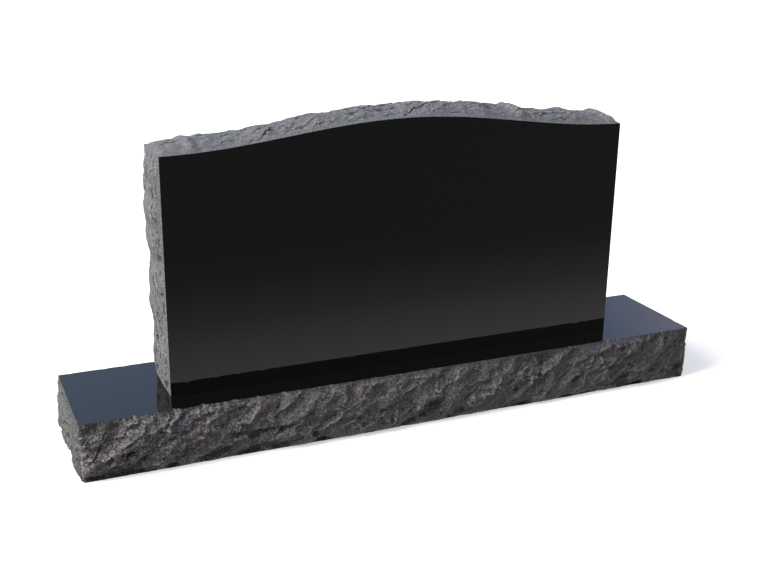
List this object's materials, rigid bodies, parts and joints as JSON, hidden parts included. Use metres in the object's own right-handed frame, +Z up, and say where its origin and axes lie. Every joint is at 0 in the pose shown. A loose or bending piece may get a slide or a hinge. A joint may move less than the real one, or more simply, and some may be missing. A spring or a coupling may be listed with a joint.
{
  "type": "headstone",
  "caption": "Upright headstone: a serpentine-top granite tablet with polished faces and rock-pitched edges, bedded on a long low base with a polished top.",
  "frame": {"origin": "centre of the base's sawn underside, midway between the arrises of its polished top", "axes": "+X along the stone to the right of someone who faces it, -Y out of the polished front face, +Z up"},
  "size_m": [1.6981, 0.355, 0.797],
  "materials": {
    "black_granite": "polished"
  },
  "bodies": {
    "root": {"base": "black_granite", "tablet": "black_granite"}
  },
  "joints": []
}
